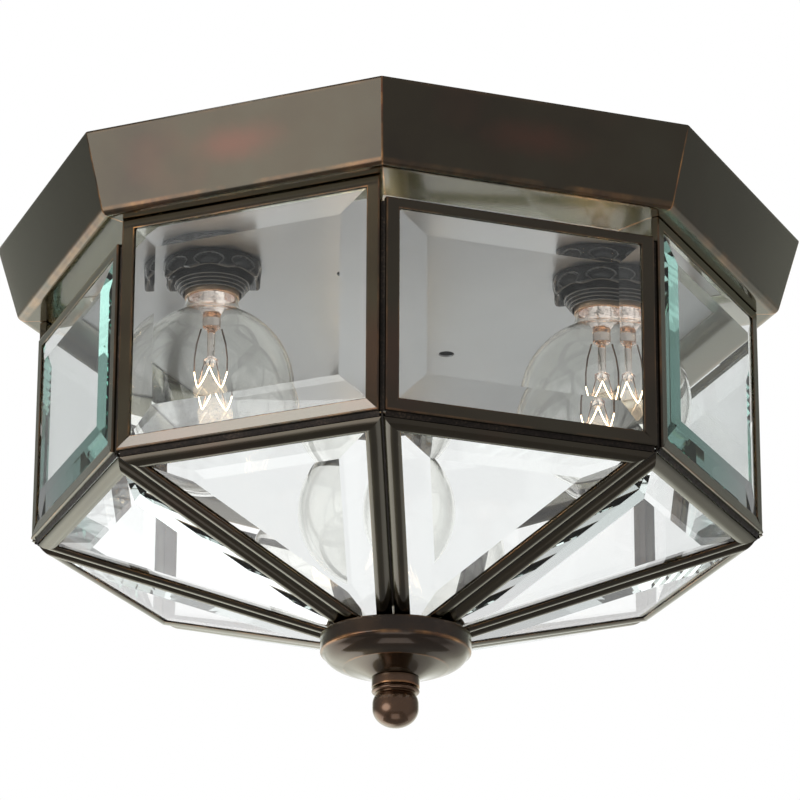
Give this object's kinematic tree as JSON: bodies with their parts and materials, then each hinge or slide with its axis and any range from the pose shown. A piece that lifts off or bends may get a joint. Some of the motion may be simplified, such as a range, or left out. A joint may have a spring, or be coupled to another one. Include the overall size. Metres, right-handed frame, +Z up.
{
  "type": "flush mount ceiling light",
  "caption": "Octagonal flush mount ceiling light: folded bronze pan, framed bevelled glass cage, and clear globe lamps on a satin plate, closed by a cap and ball finial.",
  "frame": {"origin": "centre of the pan's top rim, in the plane of the ceiling", "axes": "+Z up into the ceiling, +Y away from the viewer, one corner of the octagon towards -Y, +X to the right"},
  "size_m": [0.3958, 0.3958, 0.2481],
  "materials": {
    "bronze": "antique bronze patina, rubbed through to copper along edges and folds, satin",
    "solder": "patinated solder, rough and granular",
    "pane_glass": "clear plate glass with a polished bevel",
    "bulb_glass": "clear thin glass",
    "stem_glass": "clear lead glass",
    "filament": "bare wire, glowing when lit",
    "lamp_brass": "bright nickel brass",
    "phenolic": "black moulded phenolic, glossy",
    "reflector": "satin bright sheet",
    "steel": "zinc plated"
  },
  "bodies": {
    "base": {"ceiling_pan": "bronze", "reflector_plate": "reflector", "centre_rod": "steel", "rod_nuts": "steel", "socket_contacts": "lamp_brass", "socket_body_right": "phenolic", "socket_ring_right": "phenolic", "socket_body_rear": "phenolic", "socket_ring_rear": "phenolic", "socket_body_left": "phenolic", "socket_ring_left": "phenolic"},
    "cage": {"side_frame_1": "bronze", "side_frame_2": "bronze", "side_frame_3": "bronze", "side_frame_4": "bronze", "side_frame_5": "bronze", "side_frame_6": "bronze", "side_frame_7": "bronze", "side_frame_8": "bronze", "side_pane_1": "pane_glass", "side_pane_2": "pane_glass", "side_pane_3": "pane_glass", "side_pane_4": "pane_glass", "side_pane_5": "pane_glass", "side_pane_6": "pane_glass", "side_pane_7": "pane_glass", "side_pane_8": "pane_glass", "lower_frame_1": "bronze", "lower_frame_2": "bronze", "lower_frame_3": "bronze", "lower_frame_4": "bronze", "lower_frame_5": "bronze", "lower_frame_6": "bronze", "lower_frame_7": "bronze", "lower_frame_8": "bronze", "lower_pane_1": "pane_glass", "lower_pane_2": "pane_glass", "lower_pane_3": "pane_glass", "lower_pane_4": "pane_glass", "lower_pane_5": "pane_glass", "lower_pane_6": "pane_glass", "lower_pane_7": "pane_glass", "lower_pane_8": "pane_glass", "solder_seams": "solder", "apex_cup": "bronze", "finial_cap": "bronze"},
    "finial": {"finial": "bronze"},
    "lamp_right": {"lamp_globe_right": "bulb_glass", "lamp_base_right": "lamp_brass", "lamp_stem_right": "stem_glass", "lamp_filament_right": "filament"},
    "lamp_rear": {"lamp_globe_rear": "bulb_glass", "lamp_base_rear": "lamp_brass", "lamp_stem_rear": "stem_glass", "lamp_filament_rear": "filament"},
    "lamp_left": {"lamp_globe_left": "bulb_glass", "lamp_base_left": "lamp_brass", "lamp_stem_left": "stem_glass", "lamp_filament_left": "filament"}
  },
  "joints": [
    {"name": "cage_lower", "type": "slide", "parent": "base", "child": "cage", "axis": [0, 0, -1], "range_m": [0, 0.2]},
    {"name": "finial_turn", "type": "hinge", "parent": "cage", "child": "finial", "pos_m": [0, 0, -0.23], "axis": [0, 0, 1], "continuous": true},
    {"name": "lamp_turn_right", "type": "hinge", "parent": "base", "child": "lamp_right", "pos_m": [0.09885, -0.04095, -0.06], "axis": [0, 0, 1], "continuous": true},
    {"name": "lamp_turn_rear", "type": "hinge", "parent": "base", "child": "lamp_rear", "pos_m": [-0.01397, 0.10608, -0.06], "axis": [0, 0, 1], "continuous": true},
    {"name": "lamp_turn_left", "type": "hinge", "parent": "base", "child": "lamp_left", "pos_m": [-0.08489, -0.06514, -0.06], "axis": [0, 0, 1], "continuous": true}
  ]
}
